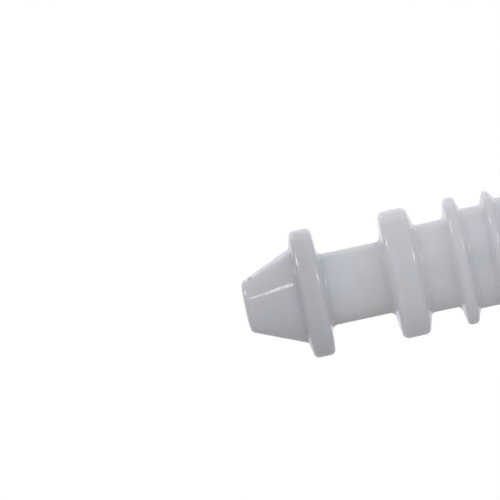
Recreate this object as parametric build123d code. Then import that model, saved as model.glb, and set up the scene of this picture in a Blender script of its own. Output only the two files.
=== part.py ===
from build123d import *
import math
import os

# Expanding wall anchor: a ringed nylon plug with two spreading legs, the screw that drives
# into it, and the flat washer under the screw's head. Millimetres throughout.
#
# Frame: the plug's axis lies along X. The nose points to -X, into the wall, and the flange
# and the screw are on the room side, +X. x = 0 is the flange's underside, which rests on
# the wall. +Z is up, and the slot between the two legs lies in the XZ plane.

# ---- plug -----------------------------------------------------------------------------
HOLE_RADIUS = 4.0            # drilled hole the plug is pressed into
DEPTH = 31.5                 # length of plug inside the wall, nose end to flange underside
FLANGE_THICKNESS = 1.2
FLANGE_RADIUS = 5.2
FLANGE_EDGE = 0.35           # rounding of the flange's outer edges

NOSE_RADIUS = 1.55           # nose cone at the nose end
NOSE_EDGE = 0.4
CONE_BASE_RADIUS = 2.97      # nose cone where it meets the first ring

RING_RADIUS = HOLE_RADIUS - 0.02
LOW_RING_RADIUS = HOLE_RADIUS - 0.1
RING_EDGE = 0.22             # rounding of a broad ring's crest
LOW_RING_EDGE = 0.12
RING_ROOT = 0.15             # fillet where a ring stands on the core

# Rings, each by its distances from the nose end: where the left flank starts, where the
# crest starts and ends, where the right flank ends; then its crest radius, and the radius
# of the core that follows it.
BROAD_RINGS = [
    (3.37, 3.60, 4.86, 5.04, RING_RADIUS, 2.25),
    (8.93, 9.15, 10.80, 11.16, RING_RADIUS, 2.76),
    (12.99, 13.22, 13.84, 14.12, RING_RADIUS, 3.14),
]
LOW_RING = (15.38, 15.76, 15.96, 16.30)
LOW_RING_COUNT = 5
LOW_RING_PITCH = 1.8
LOW_RING_CORES = (3.35, 3.60)  # core after the first low ring and after the last one

BAND_LENGTH = 3.6            # plain press-fit band under the flange
BAND_TAPER = 0.4
FIN_START = 24.3             # anti-turn fins, from the last ring to the plain band
FIN_COUNT = 6
FIN_WIDTH = 0.7
FIN_RAMP = 0.6
FIN_SINK = 0.4               # how far a fin's foot reaches into the core

BORE_RADIUS = 1.80           # clears the screw's thread, which cuts into the legs' faces
MOUTH_RADIUS = 2.5           # lead-in at the head end of the bore
MOUTH_DEPTH = 0.9

# ---- legs -----------------------------------------------------------------------------
SLOT_WIDTH = 0.5
SLOT_ROOT = 20.00            # end of the slot, measured from the nose end
ROOT_GAP = 0.10              # room for each leg's root face to rock against the sleeve
LEG_OPENING_DEG = 2.5        # each leg's swing with the screw fully home
GROOVE_END = 7.0             # where the full-width groove starts to taper, from the nose end
GROOVE_TIP = 2.80            # where the taper ends
GROOVE_TIP_RADIUS = 0.30

# ---- screw and washer -----------------------------------------------------------------
SCREW_RADIUS = 1.75          # over the thread's crest
SCREW_CORE = 1.15
SCREW_LENGTH = 30.0          # under the head
POINT_LENGTH = 4.0
SHANK_RADIUS = 1.25          # plain shank, as thick as the blank before rolling
PLAIN_SHANK = 3.0            # unthreaded length under the head
SHANK_TAPER = 0.3
THREAD_PITCH = 1.6
THREAD_START = 3.0           # where the thread begins, from the tip
THREAD_RUNOUT = 0.8          # core left between the thread's end and the plain shank
THREAD_FOOT = 0.42           # half width of the thread's foot
THREAD_CREST = 0.06          # half width of its crest
THREAD_SINK = 0.12           # how far its foot reaches into the core
HEAD_RADIUS = 3.5
HEAD_HEIGHT = 2.4
HEAD_RIM = 0.9               # straight side of the head, under its dome
RECESS_RADIUS = 1.9          # cross recess at the head's top
RECESS_FLOOR_RADIUS = 0.7
RECESS_BLADE = 0.9
RECESS_DEPTH = 1.7
WASHER_RADIUS = 4.0
WASHER_HOLE = 1.9
WASHER_THICKNESS = 0.5
WASHER_EDGE = 0.1
SEAT_GAP = 0.05              # washer to flange when the screw is home
HEAD_GAP = 0.03              # head to washer
TURNS = 11.75                # turns from first bite to fully home

TRAVEL = TURNS * THREAD_PITCH
WASHER_BACK = FLANGE_THICKNESS + SEAT_GAP + TRAVEL
HEAD_BACK = WASHER_BACK + WASHER_THICKNESS + HEAD_GAP
HEAD_TOP = HEAD_BACK + HEAD_HEIGHT
SCREW_TIP = HEAD_BACK - SCREW_LENGTH
BEND_RADIUS = TRAVEL / (2 * math.radians(LEG_OPENING_DEG))

OVERCUT = 1.0                # how far a cutting shape runs past the surface that it opens
REACH = FLANGE_RADIUS + OVERCUT


def from_nose(distance):
    """x of a point given by its distance from the nose end."""
    return distance - DEPTH


def all_rings():
    """The broad rings, then the low ones at an even pitch on a slowly thickening core."""
    first_core, last_core = LOW_RING_CORES
    rings = list(BROAD_RINGS)
    for number in range(LOW_RING_COUNT):
        shift = number * LOW_RING_PITCH
        core = first_core + (last_core - first_core) * number / (LOW_RING_COUNT - 1)
        rings.append((*(s + shift for s in LOW_RING), LOW_RING_RADIUS, core))
    return rings


def outline_points():
    """The plug's outer outline as corners (x, radius), from the nose to the flange."""
    points = [(0, NOSE_RADIUS)]
    core = CONE_BASE_RADIUS
    for foot_in, crest_in, crest_out, foot_out, crest, next_core in all_rings():
        points += [(foot_in, core), (crest_in, crest), (crest_out, crest), (foot_out, next_core)]
        core = next_core
    band = DEPTH - BAND_LENGTH
    points += [(band - BAND_TAPER, core), (band, HOLE_RADIUS), (DEPTH, HOLE_RADIUS)]
    points += [(DEPTH, FLANGE_RADIUS), (DEPTH + FLANGE_THICKNESS, FLANGE_RADIUS)]
    return [(from_nose(s), r) for s, r in points]


def corners(sketch, wanted):
    """The sketch's vertices that lie on the wanted (x, radius) points."""
    return [v for v in sketch.vertices() for x, r in wanted if abs(v.X - x) + abs(v.Y - r) < 1e-4]


def plug_body():
    """The whole plug without its bore: the outline turned round the axis."""
    outer = outline_points()
    axis_end = outer[-1][0]
    sketch = make_face(Polyline(*outer, (axis_end, 0), (from_nose(0), 0), close=True))
    feet, broad, low = [], [], []
    for number in range(len(all_rings())):
        foot_in, crest_in, crest_out, foot_out = outer[1 + 4 * number:5 + 4 * number]
        feet += [foot_in, foot_out]
        (broad if number < len(BROAD_RINGS) else low).extend([crest_in, crest_out])
    sketch = fillet(corners(sketch, feet), RING_ROOT)
    sketch = fillet(corners(sketch, broad), RING_EDGE)
    sketch = fillet(corners(sketch, low), LOW_RING_EDGE)
    sketch = fillet(corners(sketch, outer[:1]), NOSE_EDGE)
    sketch = fillet(corners(sketch, outer[-2:]), FLANGE_EDGE)
    return revolve(sketch, Axis.X)


def slab(x_low, x_high, y_low, y_high):
    """A box between two x and two y values, tall enough to cut right through the plug."""
    size = (x_high - x_low, y_high - y_low, 2 * REACH)
    middle = ((x_low + x_high) / 2, (y_low + y_high) / 2, 0)
    return Pos(*middle) * Box(*size)


def fins():
    """Axial fins round the sleeve, which stop the plug from turning in the wall."""
    start, end = from_nose(FIN_START), from_nose(DEPTH - BAND_LENGTH + BAND_TAPER)
    foot = LOW_RING_CORES[1] - FIN_SINK
    points = [(start, foot), (start + FIN_RAMP, RING_RADIUS), (end, RING_RADIUS), (end, foot)]
    blade = extrude(make_face(Polyline(*points, close=True)), FIN_WIDTH / 2, both=True)
    return [Rot(X=turn * 360 / FIN_COUNT) * blade for turn in range(FIN_COUNT)]


def make_sleeve(body):
    """Head end of the plug: the last ring, fins, press-fit band and flange, with the bore."""
    start = from_nose(SLOT_ROOT + ROOT_GAP)
    end = FLANGE_THICKNESS
    past = end + OVERCUT
    sleeve = body & slab(start, past, -REACH, REACH)
    for fin in fins():
        sleeve += fin
    length = end - start + 2 * OVERCUT
    bore = Pos((start + end) / 2, 0, 0) * Rot(Y=90) * Cylinder(BORE_RADIUS, length)
    mouth = [(end - MOUTH_DEPTH, 0), (end - MOUTH_DEPTH, BORE_RADIUS), (end, MOUTH_RADIUS)]
    mouth += [(past, MOUTH_RADIUS), (past, 0)]
    return sleeve - bore - revolve(make_face(Polyline(*mouth, close=True)), Axis.X)


def leg_groove():
    """The screw's way along the front leg.

    The leg swings out as the screw comes in, so the groove is the screw's circle carried
    along a slow curve that leaves the axis at the slot's root, then a taper for its point.
    """
    root = from_nose(SLOT_ROOT)
    arc = math.degrees((SLOT_ROOT - GROOVE_END) / BEND_RADIUS)
    mouth = Plane((root, 0, 0), x_dir=(0, 1, 0), z_dir=(-1, 0, 0)) * Circle(BORE_RADIUS)
    bend = revolve(mouth, Axis((root, BEND_RADIUS, 0), (0, 0, -1)), arc)
    lead = Pos(root, 0, 0) * Rot(Y=90) * Cylinder(BORE_RADIUS, OVERCUT)
    turn = math.radians(arc)
    end = (root - BEND_RADIUS * math.sin(turn), BEND_RADIUS * (1 - math.cos(turn)), 0)
    ahead = (-math.cos(turn), math.sin(turn), 0)
    length = GROOVE_END - GROOVE_TIP
    taper = Plane(end, x_dir=(0, 0, 1), z_dir=ahead) * Pos(0, 0, length / 2) * Cone(
        BORE_RADIUS, GROOVE_TIP_RADIUS, length
    )
    return bend + lead + taper


def make_leg(body):
    """The front leg: half the plug ahead of the slot's root, with the screw's groove."""
    half = body & slab(from_nose(-OVERCUT), from_nose(SLOT_ROOT), -REACH, -SLOT_WIDTH / 2)
    return half - leg_groove()


def screw_thread():
    """One continuous right-hand thread from the point to the run-out."""
    start = SCREW_TIP + THREAD_START
    height = HEAD_BACK - PLAIN_SHANK - THREAD_RUNOUT - start
    path = Helix(THREAD_PITCH, height, SCREW_CORE)
    depth = SCREW_RADIUS - SCREW_CORE
    tooth = make_face(Polyline((-THREAD_SINK, -THREAD_FOOT), (depth, -THREAD_CREST),
                               (depth, THREAD_CREST), (-THREAD_SINK, THREAD_FOOT), close=True))
    profile = Plane(path @ 0, x_dir=(1, 0, 0), z_dir=path % 0) * tooth
    return Pos(start, 0, 0) * Rot(Y=90) * sweep(profile, path=path, is_frenet=True)


def head_recess():
    """Plain cross recess: two tapered blades at right angles."""
    floor = HEAD_TOP - RECESS_DEPTH
    past = HEAD_TOP + OVERCUT
    side = make_face(Polyline((floor, -RECESS_FLOOR_RADIUS), (HEAD_TOP, -RECESS_RADIUS),
                              (past, -RECESS_RADIUS), (past, RECESS_RADIUS),
                              (HEAD_TOP, RECESS_RADIUS), (floor, RECESS_FLOOR_RADIUS), close=True))
    blade = extrude(side, RECESS_BLADE / 2, both=True)
    return blade + Rot(X=90) * blade


def make_screw():
    """Pan-head screw with a tapered point, its thread and a cross recess."""
    shoulder = SCREW_TIP + POINT_LENGTH
    neck = HEAD_BACK - PLAIN_SHANK
    inside = HEAD_BACK + HEAD_RIM / 2
    shank = make_face(Polyline((SCREW_TIP, 0), (shoulder, SCREW_CORE), (neck, SCREW_CORE),
                               (neck + SHANK_TAPER, SHANK_RADIUS), (inside, SHANK_RADIUS),
                               (inside, 0), close=True))
    rim = (HEAD_BACK + HEAD_RIM, HEAD_RADIUS)
    rise = HEAD_TOP - rim[0]
    dome_radius = (HEAD_RADIUS**2 + rise**2) / (2 * rise)
    halfway = HEAD_RADIUS / 2
    crown = (HEAD_TOP - dome_radius + math.sqrt(dome_radius**2 - halfway**2), halfway)
    edge = Polyline((HEAD_BACK, 0), (HEAD_BACK, HEAD_RADIUS), rim)
    dome = ThreePointArc(rim, crown, (HEAD_TOP, 0))
    head = make_face(edge + dome + Line((HEAD_TOP, 0), (HEAD_BACK, 0)))
    solid = revolve(shank, Axis.X) + revolve(head, Axis.X) + screw_thread()
    return solid - head_recess()


def make_washer():
    """Flat washer that the screw turns in as both move towards the wall."""
    back, front = WASHER_BACK, WASHER_BACK + WASHER_THICKNESS
    points = [(back, WASHER_HOLE), (back, WASHER_RADIUS), (front, WASHER_RADIUS)]
    section = make_face(Polyline(*points, (front, WASHER_HOLE), close=True))
    rim = corners(section, points[1:])
    return revolve(fillet(rim, WASHER_EDGE), Axis.X)


plug = plug_body()
leg_front = make_leg(plug)
parts = {
    "plug_sleeve": make_sleeve(plug),
    "leg_front": leg_front,
    "leg_rear": mirror(leg_front, about=Plane.XZ),
    "screw": make_screw(),
    "washer": make_washer(),
}

os.makedirs("parts", exist_ok=True)
for name, shape in parts.items():
    export_step(shape, os.path.join("parts", name + ".step"))
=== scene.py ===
import math

import bpy
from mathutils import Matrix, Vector


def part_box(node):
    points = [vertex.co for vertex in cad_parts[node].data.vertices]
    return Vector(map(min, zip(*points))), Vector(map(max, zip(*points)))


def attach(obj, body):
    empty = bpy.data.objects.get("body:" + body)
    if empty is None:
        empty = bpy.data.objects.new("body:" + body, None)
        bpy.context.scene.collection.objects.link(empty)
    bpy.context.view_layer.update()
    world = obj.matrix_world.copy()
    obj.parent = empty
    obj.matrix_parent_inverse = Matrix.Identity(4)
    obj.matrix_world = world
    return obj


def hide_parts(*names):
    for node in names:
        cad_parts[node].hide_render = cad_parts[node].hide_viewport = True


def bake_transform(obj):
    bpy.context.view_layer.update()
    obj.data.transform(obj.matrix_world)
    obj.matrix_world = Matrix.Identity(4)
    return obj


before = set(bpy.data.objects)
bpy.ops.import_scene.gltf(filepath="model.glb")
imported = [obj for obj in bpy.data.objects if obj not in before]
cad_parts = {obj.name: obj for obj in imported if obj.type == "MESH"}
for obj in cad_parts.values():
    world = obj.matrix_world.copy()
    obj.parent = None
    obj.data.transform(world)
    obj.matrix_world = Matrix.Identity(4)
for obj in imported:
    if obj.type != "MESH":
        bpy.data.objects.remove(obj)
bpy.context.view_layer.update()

# Looks of an expanding wall anchor: a milky nylon plug with two spreading legs, the
# zinc-plated screw that drives into it, and the flat washer under the screw's head.
# The frame is the part's own: X along the axis, nose to -X, flange underside at x = 0.
# Lengths are millimetres, unless a comment says otherwise; the meshes are built in metres.

MM = 0.001
TURN = 2 * math.pi

# ---- sizes taken from the frame, in millimetres -----------------------------------------
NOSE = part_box("leg_front")[0].x / MM
SLOT_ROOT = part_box("leg_front")[1].x / MM
FLANGE_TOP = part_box("plug_sleeve")[1].x / MM
FLANGE_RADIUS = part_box("plug_sleeve")[1].z / MM
WASHER_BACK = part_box("washer")[0].x / MM
WASHER_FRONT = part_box("washer")[1].x / MM
WASHER_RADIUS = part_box("washer")[1].z / MM
SCREW_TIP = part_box("screw")[0].x / MM
HEAD_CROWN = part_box("screw")[1].x / MM      # the recess's inner corners, highest on the dome
HEAD_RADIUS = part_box("screw")[1].z / MM

# ---- plug ---------------------------------------------------------------------------------
HOLE_RADIUS = 4.0
RING_RADIUS = HOLE_RADIUS - 0.02
LOW_RING_RADIUS = HOLE_RADIUS - 0.1
# A barely domed nose: distance from the nose end, radius, rounding.
NOSE_CORNERS = [(0.0, 0.5, 0), (0.03, 1.15, 0.9), (0.11, 1.60, 0.32)]
CONE_BASE_RADIUS = 2.97

# Rings: left foot, crest start, crest end, right foot (distances from the nose end), crest
# radius, radius of the core behind the ring, crest rounding, foot rounding in and out.
BROAD_RINGS = [
    (3.37, 3.60, 4.86, 5.04, RING_RADIUS, 2.25, 0.33, 0.10, 0.32),
    (8.93, 9.15, 10.80, 11.16, RING_RADIUS, 2.76, 0.37, 0.35, 0.24),
    (12.99, 13.22, 13.84, 14.12, RING_RADIUS, 3.14, 0.27, 0.32, 0.16),
]
LOW_RING = (15.38, 15.68, 15.96, 16.32)
LOW_RING_COUNT = 5
LOW_RING_PITCH = 1.8
LOW_RING_CORES = (3.35, 3.60)
LOW_RING_ROUNDING = (0.16, 0.22, 0.25)

BAND_LENGTH = 3.6                          # the plain press-fit band under the flange
BAND_TAPER = 0.4
BAND_ROUNDING = 0.2
FLANGE_ROUNDING = 0.35
BORE_RADIUS = 1.80
BORE_ROUNDING = 0.2
MOUTH_RADIUS = 2.5                         # the bore's lead-in
MOUTH_DEPTH = 0.9
MOUTH_ROUNDING = 0.12

FIN_START = 24.3                           # from the nose end
FIN_RAMP = 0.6
FIN_COUNT = 6
FIN_HALF_WIDTH = 0.35
FIN_FLANK = 0.07
# How far the mesh's columns are from a fin's middle: close together on its flank.
FIN_COLUMNS = [0.0, 0.12, 0.22, 0.27, 0.30, 0.32, 0.34, 0.36, 0.38, 0.40, 0.43, 0.5]
FIN_GAP_STEPS = 20

SLOT_HALF_WIDTH = 0.25
SLOT_EDGE = 0.06                           # rounding along the slot's edges
SLOT_EDGE_LEAST = 0.004                    # and at its root, where it closes
TRAVEL = 18.8
LEG_OPENING = math.radians(2.5)
BEND_RADIUS = TRAVEL / (2 * LEG_OPENING)   # of the groove: the screw's path in a leg that spreads
GROOVE_END = 7.0                           # from the nose end, where the groove starts to narrow
GROOVE_TIP = 2.8                           # and where it has narrowed to its tip
GROOVE_TIP_RADIUS = 0.30
GROOVE_STEPS = 32
GROOVE_RIM_SHARE = 0.25                    # most of the half width that the rim's rounding takes
FLAT_HALF_WIDTH = 0.12                     # of the strip that carries the groove's columns on
FACE_STEPS = 4                             # across each side of a slot face

SEAM_GAP = 0.004                           # between the legs' root faces and the sleeve's
STEP = 0.22                                # longest mesh edge along the plug
AROUND = 192
CORNER_STEPS = 7
CORNER_SHARE = 0.48                        # most of an edge that one rounding may take
SOFT_STEPS = 4
SHARP = 40                                 # degrees from which an edge is shaded sharp
STEEL_SHARP = 35

# ---- screw and washer ---------------------------------------------------------------------
SCREW_RADIUS = 1.75
SCREW_CORE = 1.15
THREAD_PITCH = 1.6
THREAD_HALF_WIDTH = 0.40
THREAD_CREST_HALF_WIDTH = 0.05
THREAD_HOLLOW = 1.15                       # over 1 makes the flanks slightly hollow
THREAD_START = 0.8
THREAD_RUNOUT = 1.6
THREAD_RUNOUT_GAP = 0.1
SHANK_RADIUS = 1.25
SHANK_SWELL = 0.9                          # over which the core swells to the plain shank
PLAIN_SHANK = 3.0

POINT_LENGTH = 4.0
POINT_BULGE = 0.35                         # 0 is a straight cone, 1 a parabola
POINT_CORE = 0.05
POINT_THREAD = 0.10
POINT_THREAD_LEAD = 1.12                   # the thread is full sooner than the core

HEAD_HEIGHT = 2.4
HEAD_RIM = 0.9
HEAD_RIM_ROUNDING = 0.28
HEAD_BACK_ROUNDING = 0.12
HEAD_FILLET = 0.2                          # where the shank meets the head
HEAD_NECK = 0.5                            # of shank in the head's own outline
HEAD_DOME_START = 0.87                     # share of the radius where the dome is clear of the rim
HEAD_DOME_ROWS = 8
RECESS_RADIUS = 1.9
RECESS_FLOOR_RADIUS = 0.75
RECESS_BLADE = 0.9
RECESS_FLOOR_BLADE = 0.62
RECESS_DEPTH = 1.7
RECESS_EDGE = 0.05
RECESS_ROWS = 4
SCREW_COLUMNS = 48

WASHER_HOLE = 1.9
WASHER_MIDDLE = 3.0                        # where its outline starts and ends
WASHER_ROLLED = (0.16, 0.10)               # roundings on the side towards the head: rim, hole
WASHER_SHEARED = 0.05
WASHER_STEP = 0.5

DOME_RISE = HEAD_HEIGHT - HEAD_RIM
DOME_RADIUS = (HEAD_RADIUS ** 2 + DOME_RISE ** 2) / (2 * DOME_RISE)


def dome_drop(radius):
    """How far the head's dome has fallen below its apex at a radius."""
    return DOME_RADIUS - math.sqrt(DOME_RADIUS ** 2 - radius ** 2)


HEAD_APEX = HEAD_CROWN + dome_drop(RECESS_BLADE / math.sqrt(2))
HEAD_BACK = HEAD_APEX - HEAD_HEIGHT
RECESS_FLOOR = HEAD_APEX - RECESS_DEPTH


# ---- mesh helpers ---------------------------------------------------------------------------
def clamp(value):
    """The value kept between 0 and 1."""
    return min(max(value, 0.0), 1.0)


def smooth(value):
    """0 below 0, 1 above 1, and an even S between."""
    t = clamp(value)
    return t * t * (3 - 2 * t)


def rounded(corners):
    """A polyline (a, b, rounding) with each corner that has a rounding replaced by an arc."""
    out = []
    for i, (a, b, size) in enumerate(corners):
        here = Vector((a, b))
        if size <= 0 or i in (0, len(corners) - 1):
            out.append(here)
            continue
        before = Vector(corners[i - 1][:2]) - here
        after = Vector(corners[i + 1][:2]) - here
        half = before.angle(after) / 2
        longest = CORNER_SHARE * min(before.length, after.length)
        reach = min(size / math.tan(half), longest)
        radius = reach * math.tan(half)
        bisector = (before.normalized() + after.normalized()).normalized()
        centre = here + bisector * (radius / math.sin(half))
        first = here + before.normalized() * reach - centre
        last = here + after.normalized() * reach - centre
        sweep = first.angle_signed(last)
        for k in range(CORNER_STEPS + 1):
            turn = -sweep * k / CORNER_STEPS
            c, s = math.cos(turn), math.sin(turn)
            out.append(centre + Vector((first.x * c - first.y * s, first.x * s + first.y * c)))
    return out


def divided(points, longest):
    """The same polyline with no edge longer than the given length."""
    out = [points[0]]
    for p, q in zip(points, points[1:]):
        pieces = max(1, math.ceil((q - p).length / longest))
        out += [p.lerp(q, k / pieces) for k in range(1, pieces + 1)]
    return out


def new_object(name, vertices, faces, sharp_degrees=SHARP):
    """A mesh object from millimetre vertices, shaded smooth except at sharp edges."""
    mesh = bpy.data.meshes.new(name)
    mesh.from_pydata([Vector(v) * MM for v in vertices], [], faces)
    mesh.update()
    mesh.polygons.foreach_set("use_smooth", [True] * len(mesh.polygons))
    mesh.set_sharp_from_angle(angle=math.radians(sharp_degrees))
    made = bpy.data.objects.new(name, mesh)
    bpy.context.scene.collection.objects.link(made)
    return made


def bridge(rows, columns, first=0):
    """Quads between successive closed rows of equal length."""
    faces = []
    for i in range(rows - 1):
        for j in range(columns):
            k = (j + 1) % columns
            a, b = first + i * columns, first + (i + 1) * columns
            faces.append((a + j, a + k, b + k, b + j))
    return faces


# ---- plug geometry --------------------------------------------------------------------------
def rings():
    """Every ring from the nose to the head, the low ones at an even pitch."""
    first_core, last_core = LOW_RING_CORES
    found = list(BROAD_RINGS)
    for number in range(LOW_RING_COUNT):
        shift = number * LOW_RING_PITCH
        core = first_core + (last_core - first_core) * number / (LOW_RING_COUNT - 1)
        stations = [s + shift for s in LOW_RING]
        found.append((*stations, LOW_RING_RADIUS, core, *LOW_RING_ROUNDING))
    return found


def outer_outline():
    """The plug's outline (x, radius): nose end, rings, band, flange, and back down the bore."""
    corners = list(NOSE_CORNERS)
    core = CONE_BASE_RADIUS
    for left, start, end, right, crest, behind, edge, foot_in, foot_out in rings():
        corners += [(left, core, foot_in), (start, crest, edge)]
        corners += [(end, crest, edge), (right, behind, foot_out)]
        core = behind
    depth = -NOSE
    band = depth - BAND_LENGTH
    top = depth + FLANGE_TOP
    corners += [
        (band - BAND_TAPER, core, BAND_ROUNDING),
        (band, HOLE_RADIUS, BAND_ROUNDING),
        (depth, HOLE_RADIUS, 0),
        (depth, FLANGE_RADIUS, FLANGE_ROUNDING),
        (top, FLANGE_RADIUS, FLANGE_ROUNDING),
        (top, MOUTH_RADIUS, MOUTH_ROUNDING),
        (top - MOUTH_DEPTH, BORE_RADIUS, BORE_ROUNDING),
        (SLOT_ROOT - NOSE + SEAM_GAP / 2, BORE_RADIUS, 0),
    ]
    return [Vector((p.x + NOSE, p.y)) for p in divided(rounded(corners), STEP)]


def split_outline():
    """The outline's part ahead of the slot's root, and its part behind it."""
    outline = outer_outline()
    ahead = [p for p in outline if p.x < SLOT_ROOT - SEAM_GAP]
    behind = outline[len(ahead):]
    leg_end = Vector((SLOT_ROOT - SEAM_GAP / 2, behind[0].y))
    sleeve_start = Vector((SLOT_ROOT + SEAM_GAP / 2, behind[0].y))
    return ahead + [leg_end], [sleeve_start] + [p for p in behind if p.x > SLOT_ROOT + SEAM_GAP]


def slot_half_width(x):
    """Half the slot's width: even, and closing in a half round at its root."""
    short_of_centre = x - (SLOT_ROOT - SLOT_HALF_WIDTH)
    if short_of_centre <= 0:
        return SLOT_HALF_WIDTH
    inside = SLOT_HALF_WIDTH ** 2 - short_of_centre ** 2
    return math.sqrt(max(inside, 0.0))


def groove(x):
    """Centre offset and radius of the screw's groove in a leg at x."""
    along = SLOT_ROOT - x
    straight = (SLOT_ROOT - NOSE) - GROOVE_END
    if along <= straight:
        return along ** 2 / (2 * BEND_RADIUS), BORE_RADIUS
    past = along - straight
    share = past / (GROOVE_END - GROOVE_TIP)
    radius = BORE_RADIUS + (GROOVE_TIP_RADIUS - BORE_RADIUS) * min(share, 1.0)
    return straight ** 2 / (2 * BEND_RADIUS) + past * straight / BEND_RADIUS, radius


def soft_corner(before, corner, after):
    """Points that round a corner between two points near it."""
    out = []
    for k in range(SOFT_STEPS + 1):
        t = k / SOFT_STEPS
        out.append(before * (1 - t) ** 2 + corner * (2 * t * (1 - t)) + after * t ** 2)
    return out


def mirrored(points):
    """The same points on the other side of the leg's middle, in running order."""
    return [Vector((p.x, -p.y)) for p in reversed(points)]


def groove_cut(x, half, edge):
    """The groove's arc in a slot face, its half width there and the rounding of its rim."""
    offset, radius = groove(x)
    drop = half + offset
    width = math.sqrt(max(radius ** 2 - drop ** 2, 0.0))
    shares = [k / GROOVE_STEPS for k in range(GROOVE_STEPS + 1)]
    if width > FLAT_HALF_WIDTH:
        rim = min(edge, width * GROOVE_RIM_SHARE)
        begin = math.asin(width / radius) - rim / radius
        turns = [begin - 2 * begin * share for share in shares]
        arc = [Vector((offset - radius * math.cos(t), -radius * math.sin(t))) for t in turns]
        return arc, width, rim
    width = FLAT_HALF_WIDTH
    rim = width * GROOVE_RIM_SHARE
    flat = [Vector((-half, (rim - width) + 2 * (width - rim) * share)) for share in shares]
    return flat, width, rim


def leg_section(x, outer):
    """One closed loop (y, z) of the front leg: outer arc, slot face, groove, slot face."""
    half = slot_half_width(x)
    edge = SLOT_EDGE * half / SLOT_HALF_WIDTH + SLOT_EDGE_LEAST
    top = math.sqrt(outer ** 2 - half ** 2)
    low = math.asin(half / outer) + edge / outer
    high = math.pi - low
    turns = [low + (high - low) * k / (AROUND // 2) for k in range(AROUND // 2)]
    arc = [Vector((-outer * math.sin(turn), outer * math.cos(turn))) for turn in turns]
    corner = soft_corner(Vector((-half, top - edge)), Vector((-half, top)), arc[0])
    cut, width, rim = groove_cut(x, half, edge)
    lip = soft_corner(Vector((-half, -width - rim)), Vector((-half, -width)), cut[0])
    face = [Vector((-half, edge - top)).lerp(lip[0], k / FACE_STEPS) for k in range(1, FACE_STEPS)]
    return corner + arc[1:] + mirrored(corner) + face + lip + cut[1:-1] + mirrored(lip) + mirrored(face)


def build_leg(name, side):
    """One expansion leg. side is -1 for the front leg, at -Y, and 1 for the rear leg."""
    ahead, _ = split_outline()
    vertices, count = [], 0
    for station in ahead:
        loop = leg_section(station.x, station.y)
        count = len(loop)
        vertices += [(station.x, -side * p.x, p.y) for p in loop]
    rows = len(ahead)
    faces = bridge(rows, count)
    faces.append(tuple(reversed(range(count))))
    faces.append(tuple((rows - 1) * count + j for j in range(count)))
    if side > 0:
        faces = [tuple(reversed(f)) for f in faces]
    return new_object(name, vertices, faces)


def fin_turns():
    """Angles round the sleeve, gathered at the flanks of the fins."""
    on_fin = sorted({round(side * u / RING_RADIUS, 6) for u in FIN_COLUMNS for side in (-1, 1)})
    gap = TURN / FIN_COUNT - 2 * on_fin[-1]
    turns = []
    for fin in range(FIN_COUNT):
        centre = fin * TURN / FIN_COUNT
        turns += [centre + t for t in on_fin]
        turns += [centre + on_fin[-1] + gap * k / FIN_GAP_STEPS for k in range(1, FIN_GAP_STEPS)]
    return turns


def fin_share(turn):
    """1 on top of a fin, 0 between fins, smooth over its flanks."""
    spacing = TURN / FIN_COUNT
    off = abs((turn + spacing / 2) % spacing - spacing / 2) * RING_RADIUS
    return smooth((FIN_HALF_WIDTH + FIN_FLANK / 2 - off) / FIN_FLANK)


def build_sleeve():
    """Head end of the plug, turned round the axis, with fins raised on its outside."""
    _, behind = split_outline()
    turns = fin_turns()
    fin_start = NOSE + FIN_START
    fin_end = -BAND_LENGTH
    vertices = []
    for p in behind:
        outside = p.y > MOUTH_RADIUS and p.x < fin_end
        ramp = clamp((p.x - fin_start) / FIN_RAMP) if outside else 0
        for turn in turns:
            radius = p.y + max(RING_RADIUS - p.y, 0) * ramp * fin_share(turn)
            vertices.append((p.x, -radius * math.sin(turn), radius * math.cos(turn)))
    rows, columns = len(behind), len(turns)
    faces = bridge(rows, columns)
    last = (rows - 1) * columns
    for j in range(columns):
        k = (j + 1) % columns
        faces.append((last + j, last + k, k, j))
    return new_object("plug_head_moulding", vertices, faces)


# ---- screw geometry -------------------------------------------------------------------------
def screw_radius(x, turn):
    """Radius of the threaded shank at x and angle."""
    from_tip = x - SCREW_TIP
    share = clamp(from_tip / POINT_LENGTH)
    point = math.sqrt(share) * POINT_BULGE + share * (1 - POINT_BULGE)
    core = POINT_CORE + (SCREW_CORE - POINT_CORE) * point
    major = POINT_THREAD + (SCREW_RADIUS - POINT_THREAD) * clamp(point * POINT_THREAD_LEAD)
    end = HEAD_BACK - PLAIN_SHANK
    fade = smooth((end - THREAD_RUNOUT_GAP - x) / THREAD_RUNOUT) * smooth(from_tip / THREAD_START)
    core += (SHANK_RADIUS - SCREW_CORE) * smooth((x - end + SHANK_SWELL) / SHANK_SWELL)
    phase = (x / THREAD_PITCH - turn / TURN) % 1.0
    off = min(phase, 1 - phase) * THREAD_PITCH
    flank = THREAD_HALF_WIDTH - THREAD_CREST_HALF_WIDTH
    tooth = clamp((THREAD_HALF_WIDTH - off) / flank) ** THREAD_HOLLOW
    return core + max(major - core, 0) * tooth * fade


def cross_outline(reach, half_width):
    """A cross as SCREW_COLUMNS points, its arms on the Y and Z axes, starting on +Z."""
    eighth = SCREW_COLUMNS // 8
    end = 2                                    # segments across half an arm's end
    points = [Vector((0, reach)).lerp(Vector((half_width, reach)), k / end) for k in range(end)]
    for k in range(eighth - end + 1):
        share = k / (eighth - end)
        points.append(Vector((half_width, reach)).lerp(Vector((half_width, half_width)), share))
    points += [Vector((p.y, p.x)) for p in reversed(points[1:-1])]
    quarters = []
    for quarter in range(4):
        c, s = round(math.cos(quarter * TURN / 4)), round(math.sin(quarter * TURN / 4))
        quarters += [Vector((-(p.x * c + p.y * s), p.y * c - p.x * s)) for p in points]
    return quarters


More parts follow.
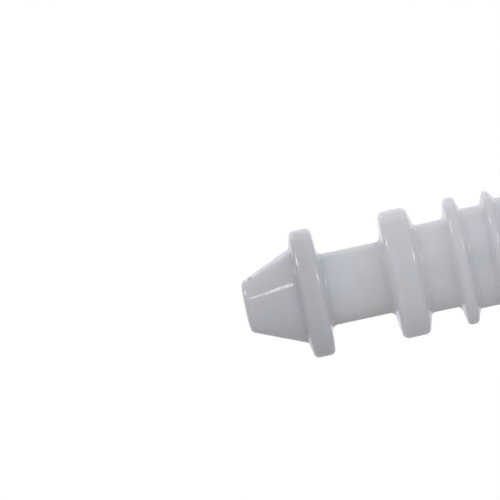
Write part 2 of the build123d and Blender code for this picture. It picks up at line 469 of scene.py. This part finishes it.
def screw_circle():
    """Points of a unit circle, one for each column of the screw's mesh."""
    turns = [TURN * j / SCREW_COLUMNS for j in range(SCREW_COLUMNS)]
    return [Vector((-math.sin(turn), math.cos(turn))) for turn in turns]


def shank_mesh():
    """Vertices and faces of the threaded shank, its faces running along the helix."""
    columns = SCREW_COLUMNS
    step = THREAD_PITCH / columns
    rows = int((HEAD_BACK - PLAIN_SHANK - SCREW_TIP) / step)
    circle = screw_circle()
    vertices = []
    for i in range(rows + 1):
        x = SCREW_TIP + i * step
        for j, p in enumerate(circle):
            r = screw_radius(x, TURN * j / columns)
            vertices.append((x, r * p.x, r * p.y))
    faces = []
    for j in range(columns):
        k = (j + 1) % columns
        faces.append((j, k, columns + k))
        for i in range(rows - 1):
            a = i * columns
            faces.append((a + j, a + columns + k, a + 2 * columns + k, a + columns + j))
        a = (rows - 1) * columns
        faces.append((a + j, a + columns + k, a + columns + j))
    faces.append(tuple(reversed(range(columns))))
    return vertices, faces


def head_rows():
    """Rows of vertices from the shank's end round the rim and over the dome to the recess."""
    circle = screw_circle()
    edge = HEAD_DOME_START * HEAD_RADIUS
    side = [
        (HEAD_BACK - HEAD_NECK, SHANK_RADIUS, 0),
        (HEAD_BACK, SHANK_RADIUS, HEAD_FILLET),
        (HEAD_BACK, HEAD_RADIUS, HEAD_BACK_ROUNDING),
        (HEAD_BACK + HEAD_RIM, HEAD_RADIUS, HEAD_RIM_ROUNDING),
        (HEAD_APEX - dome_drop(edge), edge, 0),
    ]
    rows = [[(p.x, p.y * c.x, p.y * c.y) for c in circle] for p in rounded(side)]
    brim = cross_outline(RECESS_RADIUS + RECESS_EDGE, RECESS_BLADE / 2 + RECESS_EDGE)
    for k in range(1, HEAD_DOME_ROWS + 1):
        loop = [(edge * c).lerp(b, k / HEAD_DOME_ROWS) for c, b in zip(circle, brim)]
        rows.append([(HEAD_APEX - dome_drop(p.length), p.x, p.y) for p in loop])
    return rows


def recess_rows():
    """Rows of vertices down the walls of the cross recess."""
    lip = cross_outline(RECESS_RADIUS, RECESS_BLADE / 2)
    floor = cross_outline(RECESS_FLOOR_RADIUS, RECESS_FLOOR_BLADE / 2)
    rows = []
    for k in range(RECESS_ROWS + 1):
        share = k / RECESS_ROWS
        row = []
        for p, q in zip(lip, floor):
            top = HEAD_APEX - dome_drop(p.length) - RECESS_EDGE
            at = p.lerp(q, share)
            row.append((top + (RECESS_FLOOR - top) * share, at.x, at.y))
        rows.append(row)
    return rows


def build_screw():
    """Threaded shank, pan head and cross recess, in one closed mesh."""
    columns = SCREW_COLUMNS
    vertices, faces = shank_mesh()
    first = len(vertices) - columns
    rows = head_rows() + recess_rows()
    for row in rows:
        vertices += row
    faces += bridge(len(rows) + 1, columns, first)
    last = len(vertices) - columns
    vertices.append((RECESS_FLOOR - RECESS_EDGE, 0, 0))
    faces += [(last + j, last + (j + 1) % columns, len(vertices) - 1) for j in range(columns)]
    return new_object("steel_screw", vertices, faces, STEEL_SHARP)


def build_washer():
    """Stamped flat washer: rolled edge on one side, sheared on the other."""
    rim_rolled, hole_rolled = WASHER_ROLLED
    corners = [
        (WASHER_BACK, WASHER_MIDDLE, 0),
        (WASHER_BACK, WASHER_RADIUS, WASHER_SHEARED),
        (WASHER_FRONT, WASHER_RADIUS, rim_rolled),
        (WASHER_FRONT, WASHER_HOLE, hole_rolled),
        (WASHER_BACK, WASHER_HOLE, WASHER_SHEARED),
        (WASHER_BACK, WASHER_MIDDLE, 0),
    ]
    loop = divided(rounded(corners)[:-1], WASHER_STEP)
    vertices = []
    for p in loop:
        for j in range(AROUND):
            turn = TURN * j / AROUND
            vertices.append((p.x, -p.y * math.sin(turn), p.y * math.cos(turn)))
    faces = bridge(len(loop), AROUND)
    last = (len(loop) - 1) * AROUND
    faces += [(last + j, last + (j + 1) % AROUND, (j + 1) % AROUND, j) for j in range(AROUND)]
    return new_object("steel_washer", vertices, faces, STEEL_SHARP)


# ---- material sizes ---------------------------------------------------------------------------
# Noise scales are cycles per metre; bump heights, radii and reaches are millimetres.
NOISE_MIDDLE = (0.3, 0.7)                  # the range that most of a noise falls in
PLAIN_GRAIN = {"Detail": 3.0, "Roughness": 0.5}
SOFT_GRAIN = {"Detail": 2.0, "Roughness": 0.5}
ROUGH_GRAIN = {"Detail": 4.0, "Roughness": 0.6}

NYLON_BLUE = (0.886, 0.919, 0.962)         # the tints that drift through the nylon
NYLON_GREY = (0.91, 0.915, 0.94)
NYLON_LAVENDER = (0.935, 0.912, 0.972)
NYLON_TINTS = [(0.36, NYLON_BLUE), (0.5, NYLON_GREY), (0.64, NYLON_LAVENDER)]
NYLON_TINT_SCALE = 300.0
NYLON_IOR = 1.53
NYLON_ROUGHNESS = (0.11, 0.19)
NYLON_ROUGHNESS_SCALE = 1500.0
NYLON_DEPTH = 2.2                          # how far light wanders in the nylon
NYLON_WAVE = 0.012                         # the skin's waviness
NYLON_WAVE_SCALE = 700.0
NYLON_DRAG = 0.004                         # faint drag marks, ten times as long as wide
NYLON_DRAG_SCALE = 3500.0
NYLON_DRAG_SQUEEZE = (0.1, 1, 1)
SEAM_REACH = (0.6, 2.4)                    # no scattering this near to where the legs begin
SPECK_COLOUR = (0.30, 0.33, 0.31)
SPECK_PLACE = (NOSE + 0.66, -0.75, 1.67)    # a small dark speck at the nose's moulded edge
SPECK_RADII = (0.048, 0.24)
DEEP_SPOT_TONE = 0.93                      # milky shadow of the bore in the middle of each core
DEEP_SPOTS = [(NOSE + 7.7, 2.2), (NOSE + 12.1, 2.8), (NOSE + 14.8, 3.1)]
DEEP_SPOT_RADII = (0.2, 1.25)
SKY_CAST_PLACE = (NOSE + 6.0, -1.3, 1.75)      # painted sky light: a bluer patch on the first core's upper front
SKY_CAST_TINT = (0.94, 0.985, 1.0)
SKY_CAST_RADII = (0.3, 1.7)
THICK_RING_SHADE = 0.83                          # painted shade: the thick rings are a touch greyer than the cores
THICK_RADII = (2.6, 3.9)                   # the radii between which that tone sets in
NOSE_SHADE_TONE = 0.79                           # painted shade: the solid nose is greyer too, clearing past the first ring
NOSE_REACH = (3.2, 8.0)

SCREW_ZINC = (0.76, 0.77, 0.78)
SCREW_ROUGHNESS = 0.26
SCREW_ROOTS = (1.2, 1.6)                   # the radii between which the roots' dirt and painted shade clear
WASHER_ZINC = (0.71, 0.72, 0.73)
WASHER_ROUGHNESS = 0.33
# the radii between which the dirt and painted shade round the washer's hole clear
WASHER_ROOTS = (1.8, 2.1)
ZINC_COOL = (0.95, 0.985, 1.03)            # the blue cast of the passivated zinc
ZINC_DULL = 0.80
ZINC_CLOUD_STOPS = (0.34, 0.5, 0.66)
ZINC_CLOUD_SCALE = 1100.0
ZINC_MARKS = 0.0022                        # turning marks
ZINC_MARKS_SCALE = 9000.0
ZINC_PITS = 0.004
ZINC_PITS_SCALE = 2600.0
ZINC_SMOOTHER = 0.06                       # how far the roughness drifts either way
ZINC_ROUGHER = 0.09
ROOT_DIRT_AND_SHADE_TONE = 0.62                           # dirt and painted shade in the thread's roots and the recess


# ---- material helpers -------------------------------------------------------------------------
# A Mix node's colour sockets go by number, because its other sockets have the same names.
MIX_FIRST, MIX_SECOND, MIX_RESULT = 6, 7, 2


def feed(tree, value, socket):
    """Give a socket a constant, or another node's output."""
    if isinstance(value, bpy.types.NodeSocket):
        tree.links.new(value, socket)
    else:
        socket.default_value = value


def maths(tree, operation, value, other=None):
    """One step of arithmetic on a number."""
    made = tree.nodes.new("ShaderNodeMath")
    made.operation = operation
    feed(tree, value, made.inputs[0])
    if other is not None:
        feed(tree, other, made.inputs[1])
    return made.outputs["Value"]


def vector_maths(tree, operation, value, other=None, result="Value"):
    """One step of arithmetic on a vector, which gives a number or another vector."""
    made = tree.nodes.new("ShaderNodeVectorMath")
    made.operation = operation
    feed(tree, value, made.inputs[0])
    if other is not None:
        feed(tree, other, made.inputs[1])
    return made.outputs[result]


def ranged(tree, value, low, high, start, end, smooth_steps=False):
    """A value carried from one range to another."""
    made = tree.nodes.new("ShaderNodeMapRange")
    made.interpolation_type = "SMOOTHSTEP" if smooth_steps else "LINEAR"
    limits = {"From Min": low, "From Max": high, "To Min": start, "To Max": end}
    for key, limit in limits.items():
        made.inputs[key].default_value = limit
    feed(tree, value, made.inputs["Value"])
    return made.outputs["Result"]


def noise(tree, where, scale, grain=PLAIN_GRAIN):
    """Cloudy noise, about 0 to 1."""
    made = tree.nodes.new("ShaderNodeTexNoise")
    for key, value in {"Scale": scale, **grain}.items():
        made.inputs[key].default_value = value
    feed(tree, where, made.inputs["Vector"])
    return made.outputs["Fac"]


def colour_ramp(tree, value, stops):
    """A value turned into a colour through a list of (position, colour)."""
    made = tree.nodes.new("ShaderNodeValToRGB")
    stops = list(stops)
    while len(made.color_ramp.elements) < len(stops):
        made.color_ramp.elements.new(0.5)
    for element, (position, colour) in zip(made.color_ramp.elements, stops):
        element.position = position
        element.color = (*colour, 1)
    feed(tree, value, made.inputs["Fac"])
    return made.outputs["Color"]


def mixed(tree, share, colour, other, blend="MIX"):
    """A colour mixed with another one by a share from 0 to 1."""
    made = tree.nodes.new("ShaderNodeMix")
    made.data_type = "RGBA"
    made.blend_type = blend
    feed(tree, share, made.inputs["Factor"])
    feed(tree, colour, made.inputs[MIX_FIRST])
    feed(tree, (*other, 1), made.inputs[MIX_SECOND])
    return made.outputs[MIX_RESULT]


def toned(tree, share, colour, tone):
    """A colour multiplied by a grey or a tint, by a share from 0 to 1."""
    tint = tone if isinstance(tone, tuple) else (tone, tone, tone)
    return mixed(tree, share, colour, tint, "MULTIPLY")


def near(tree, where, place, radii):
    """1 within the first distance of a place, 0 past the second one, in millimetres."""
    gap = vector_maths(tree, "DISTANCE", where, Vector(place) * MM)
    inner, outer = radii
    return ranged(tree, gap, inner * MM, outer * MM, 1, 0, smooth_steps=True)


def along_axis(tree, where, x):
    """Distance along the plug's axis from x, in metres."""
    parts = tree.nodes.new("ShaderNodeSeparateXYZ")
    feed(tree, where, parts.inputs["Vector"])
    return maths(tree, "ABSOLUTE", maths(tree, "SUBTRACT", parts.outputs["X"], x * MM))


def scaled(tree, where, factors):
    """A place with its coordinates multiplied."""
    return vector_maths(tree, "MULTIPLY", where, factors, result="Vector")


def off_axis(tree, where):
    """A place moved along the axis to x = 0, so that only its place across counts."""
    return scaled(tree, where, (0, 1, 1))


def bumped(tree, height, millimetres, under=None):
    """A normal bumped by a height from 0 to 1, over another normal if one is given."""
    made = tree.nodes.new("ShaderNodeBump")
    made.inputs["Distance"].default_value = millimetres * MM
    feed(tree, height, made.inputs["Height"])
    if under is not None:
        feed(tree, under, made.inputs["Normal"])
    return made.outputs["Normal"]


def new_material(name):
    """A material, its node tree and its shader."""
    material = bpy.data.materials.new(name)
    material.use_nodes = True
    tree = material.node_tree
    return material, tree, tree.nodes["Principled BSDF"]


def place_on_piece(tree):
    """The shaded point in the piece's own coordinates, in metres."""
    return tree.nodes.new("ShaderNodeTexCoord").outputs["Object"]


# ---- materials of the pieces ------------------------------------------------------------------
def nylon_colour(tree, where):
    """Drifting tints, with painted shadows of the bore, painted sky light, painted shade on the rings and
    the nose, and a small dark speck.
    """
    colour = colour_ramp(tree, noise(tree, where, NYLON_TINT_SCALE), NYLON_TINTS)
    for x, radius in DEEP_SPOTS:
        for side in (-1, 1):
            spot = near(tree, where, (x, side * radius, 0), DEEP_SPOT_RADII)
            colour = toned(tree, spot, colour, DEEP_SPOT_TONE)
    # painted sky light: a bluer patch on the first core's upper front
    sky_cast = near(tree, where, SKY_CAST_PLACE, SKY_CAST_RADII)
    colour = toned(tree, sky_cast, colour, SKY_CAST_TINT)
    # painted shade: the thick rings a touch greyer than the cores between them
    thick_ring_shade = near(tree, off_axis(tree, where), (0, 0, 0), reversed(THICK_RADII))
    colour = toned(tree, thick_ring_shade, colour, THICK_RING_SHADE)
    # painted shade on the solid nose, clearing past the first ring
    nose_shade = ranged(tree, along_axis(tree, where, NOSE), *[reach * MM for reach in NOSE_REACH], 1, 0)
    colour = toned(tree, nose_shade, colour, NOSE_SHADE_TONE)
    # a small dark speck at the nose's moulded edge
    return mixed(tree, near(tree, where, SPECK_PLACE, SPECK_RADII), colour, SPECK_COLOUR)


def nylon_material():
    """Natural nylon: milky and translucent, faintly cloudy, with a glossy, wavy skin."""
    material, tree, shader = new_material("natural_nylon")
    where = place_on_piece(tree)
    shader.inputs["IOR"].default_value = NYLON_IOR
    shader.inputs["Subsurface Radius"].default_value = (1.0, 1.0, 1.0)
    shader.inputs["Subsurface Scale"].default_value = NYLON_DEPTH * MM
    seam = along_axis(tree, where, SLOT_ROOT)
    scatter = ranged(tree, seam, *[reach * MM for reach in SEAM_REACH], 0, 1, smooth_steps=True)
    feed(tree, scatter, shader.inputs["Subsurface Weight"])
    feed(tree, nylon_colour(tree, where), shader.inputs["Base Color"])
    satin = noise(tree, where, NYLON_ROUGHNESS_SCALE)
    feed(tree, ranged(tree, satin, *NOISE_MIDDLE, *NYLON_ROUGHNESS), shader.inputs["Roughness"])
    wave = noise(tree, where, NYLON_WAVE_SCALE, SOFT_GRAIN)
    drag = noise(tree, scaled(tree, where, NYLON_DRAG_SQUEEZE), NYLON_DRAG_SCALE, SOFT_GRAIN)
    skin = bumped(tree, drag, NYLON_DRAG, under=bumped(tree, wave, NYLON_WAVE))
    feed(tree, skin, shader.inputs["Normal"])
    return material


def turning_marks(tree, where):
    """Noise that is the same all the way round the axis, as a lathe or a die leaves it."""
    radius = vector_maths(tree, "LENGTH", off_axis(tree, where))
    turned = tree.nodes.new("ShaderNodeCombineXYZ")
    feed(tree, radius, turned.inputs["X"])
    feed(tree, along_axis(tree, where, WASHER_BACK), turned.inputs["Y"])
    return noise(tree, turned.outputs["Vector"], ZINC_MARKS_SCALE, SOFT_GRAIN)


def steel_material(name, colour, roughness, root_radii):
    """Zinc plate on steel: cloudy, finely ringed round the axis, and darker near the axis with dirt and
    painted shade.
    """
    material, tree, shader = new_material(name)
    where = place_on_piece(tree)
    shader.inputs["Metallic"].default_value = 1.0
    bright = Vector(colour)
    shades = (bright * ZINC_DULL, bright * Vector(ZINC_COOL), bright)
    cloud = noise(tree, where, ZINC_CLOUD_SCALE, ROUGH_GRAIN)
    tint = colour_ramp(tree, cloud, zip(ZINC_CLOUD_STOPS, shades))
    # dirt and painted shade near the axis: the thread's roots, the recess, round the washer's hole
    root_dirt_and_shade = near(tree, off_axis(tree, where), (0, 0, 0), root_radii)
    feed(tree, toned(tree, root_dirt_and_shade, tint, ROOT_DIRT_AND_SHADE_TONE), shader.inputs["Base Color"])
    pits = noise(tree, where, ZINC_PITS_SCALE, ROUGH_GRAIN)
    limits = (roughness - ZINC_SMOOTHER, roughness + ZINC_ROUGHER)
    feed(tree, ranged(tree, pits, *NOISE_MIDDLE, *limits), shader.inputs["Roughness"])
    plate = bumped(tree, turning_marks(tree, where), ZINC_MARKS, under=bumped(tree, pits, ZINC_PITS))
    feed(tree, plate, shader.inputs["Normal"])
    return material


# ---- assembly ---------------------------------------------------------------------------------
def dress(piece, material, node):
    """Give a piece its material and slot, and let it stand in for a CAD node."""
    piece.data.materials.append(material)
    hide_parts(node)


nylon = nylon_material()
sleeve = build_sleeve()
dress(sleeve, nylon, "plug_sleeve")
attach(sleeve, "sleeve")

LEGS = [
    ("front_leg_moulding", "leg_front", "front_leg", -1),
    ("rear_leg_moulding", "leg_rear", "rear_leg", 1),
]
for leg_name, leg_node, leg_body, leg_side in LEGS:
    leg = build_leg(leg_name, leg_side)
    dress(leg, nylon, leg_node)
    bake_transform(leg)

screw = build_screw()
screw_zinc = steel_material("zinc_plated_screw", SCREW_ZINC, SCREW_ROUGHNESS, SCREW_ROOTS)
dress(screw, screw_zinc, "screw")
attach(screw, "screw")

washer = build_washer()
washer_zinc = steel_material("zinc_plated_washer", WASHER_ZINC, WASHER_ROUGHNESS, WASHER_ROOTS)
dress(washer, washer_zinc, "washer")
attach(washer, "washer")


# ---- studio -----------------------------------------------------------------------------------
AXIS_RISE = math.radians(12.2)             # the axis climbs to the right of the picture
VIEW_WIDTH = 30.67                         # width of the picture at the object
VIEW_CENTRE = (NOSE + 1.05, 0.0, 3.38)
VIEW_DISTANCE = 450.0
SENSOR_WIDTH = 36.0
CLIP_NEAR = 0.01                           # metres
CLIP_FAR = 10.0

FLOOR_HALF_WIDTH = 300.0
FLOOR_HEIGHT = -30.0                       # well below, out of the picture
FLOOR_WHITE = 0.9
FLOOR_ROUGHNESS = 0.9

SKY_UP = (-0.05, -0.45, 1.0)               # towards the brightest part of the surroundings
# How bright they are, from 0, opposite that part, to 1, right in it.
SKY = [(0.0, 0.285), (0.16, 0.56), (0.32, 0.685), (0.60, 0.76), (1.0, 0.815)]
SKY_TINT_LOW = (0.985, 0.970, 0.998)       # nearly neutral below, bluer above
SKY_TINT_HIGH = (0.955, 0.967, 1.008)
SIDE_DIM = 0.6                             # how much dimmer it is along the axis than across
BACK_GLOW = (0.0, 0.86, 0.51)              # towards the middle of the white backdrop
BACK_GLOW_EDGE = (0.70, 0.90)              # cosines where the backdrop starts and is full
BACK_GLOW_LEVEL = 0.35
BACKDROP = (1.0, 1.0, 1.0)

# Small lights that only show as glints: direction towards each, width and height in metres,
# and power in watts.
LIGHT_DISTANCE = 0.5                       # metres
LIGHT_TARGET = (NOSE + 8, 0, 0)
LIGHTS = {
    "key": ((-0.669, -0.595, 0.445), 0.03, 0.03, 0.08),
    "right": ((0.843, -0.421, 0.336), 0.14, 0.12, 0.65),
    "left": ((-0.781, 0.008, 0.625), 0.14, 0.12, 0.55),
    "rim": ((-0.27, 0.755, 0.60), 0.08, 0.20, 0.035),
}


def add_camera():
    """A long lens, square on to the slot's plane, tilted so that the axis climbs."""
    data = bpy.data.cameras.new("camera")
    data.sensor_width = SENSOR_WIDTH
    data.lens = SENSOR_WIDTH * VIEW_DISTANCE / VIEW_WIDTH
    data.clip_start = CLIP_NEAR
    data.clip_end = CLIP_FAR
    camera = bpy.data.objects.new("camera", data)
    bpy.context.scene.collection.objects.link(camera)
    camera.rotation_mode = "XYZ"
    camera.rotation_euler = (math.pi / 2, AXIS_RISE, 0)
    camera.location = (Vector(VIEW_CENTRE) - Vector((0, VIEW_DISTANCE, 0))) * MM
    bpy.context.scene.camera = camera


def add_floor():
    """A plain pale floor that neither shades nor mirrors in the object."""
    half, height = FLOOR_HALF_WIDTH, FLOOR_HEIGHT
    corners = [(-half, -half, height), (half, -half, height), (half, half, height), (-half, half, height)]
    floor = new_object("floor", corners, [(0, 1, 2, 3)])
    floor.visible_diffuse = False
    floor.visible_glossy = False
    material, _, shader = new_material("floor_white")
    shader.inputs["Base Color"].default_value = (FLOOR_WHITE, FLOOR_WHITE, FLOOR_WHITE, 1)
    shader.inputs["Roughness"].default_value = FLOOR_ROUGHNESS
    floor.data.materials.append(material)


def towards(tree, direction, aim):
    """The cosine between a direction and an aim."""
    return vector_maths(tree, "DOT_PRODUCT", direction, Vector(aim).normalized())


def glowing(tree, colour, strength=1.0):
    """A background of a colour, given as (r, g, b) or by another node."""
    made = tree.nodes.new("ShaderNodeBackground")
    feed(tree, (*colour, 1) if isinstance(colour, tuple) else colour, made.inputs["Color"])
    feed(tree, strength, made.inputs["Strength"])
    return made.outputs["Background"]


def sky_stops():
    """The surroundings' colours, from their darkest part to their brightest."""
    low, high = Vector(SKY_TINT_LOW), Vector(SKY_TINT_HIGH)
    return [(position, low.lerp(high, position) * level) for position, level in SKY]


def add_world():
    """White behind the object; for its lighting, bright above and in front, dim below."""
    world = bpy.data.worlds.new("studio")
    bpy.context.scene.world = world
    world.use_nodes = True
    tree = world.node_tree
    direction = tree.nodes.new("ShaderNodeTexCoord").outputs["Generated"]
    height = ranged(tree, towards(tree, direction, SKY_UP), -1, 1, 0, 1)
    sky = colour_ramp(tree, height, sky_stops())
    along = towards(tree, direction, (1, 0, 0))
    sides = ranged(tree, maths(tree, "MULTIPLY", along, along), 0, 1, 1, 1 - SIDE_DIM)
    behind = towards(tree, direction, BACK_GLOW)
    glow = ranged(tree, behind, *BACK_GLOW_EDGE, 0, BACK_GLOW_LEVEL, smooth_steps=True)
    lighting = tree.nodes.new("ShaderNodeAddShader")
    feed(tree, glowing(tree, sky, sides), lighting.inputs[0])
    feed(tree, glowing(tree, SKY_TINT_HIGH, glow), lighting.inputs[1])
    ray = tree.nodes.new("ShaderNodeLightPath")
    chosen = tree.nodes.new("ShaderNodeMixShader")
    feed(tree, ray.outputs["Is Camera Ray"], chosen.inputs["Fac"])
    feed(tree, lighting.outputs["Shader"], chosen.inputs[1])
    feed(tree, glowing(tree, BACKDROP), chosen.inputs[2])
    feed(tree, chosen.outputs["Shader"], tree.nodes["World Output"].inputs["Surface"])


def add_lights():
    """Area lights that the nylon and the steel mirror, and that light nothing else."""
    for name, (direction, width, height, power) in LIGHTS.items():
        data = bpy.data.lights.new(name, "AREA")
        data.shape = "RECTANGLE"
        data.size = width
        data.size_y = height
        data.energy = power
        light = bpy.data.objects.new(name, data)
        bpy.context.scene.collection.objects.link(light)
        light.visible_camera = False
        light.visible_diffuse = False
        light.location = Vector(LIGHT_TARGET) * MM + Vector(direction).normalized() * LIGHT_DISTANCE
        light.rotation_mode = "QUATERNION"
        light.rotation_quaternion = Vector(direction).to_track_quat("Z", "Y")


add_lights()
add_camera()
add_floor()
add_world()
bpy.context.scene.view_settings.view_transform = "Standard"
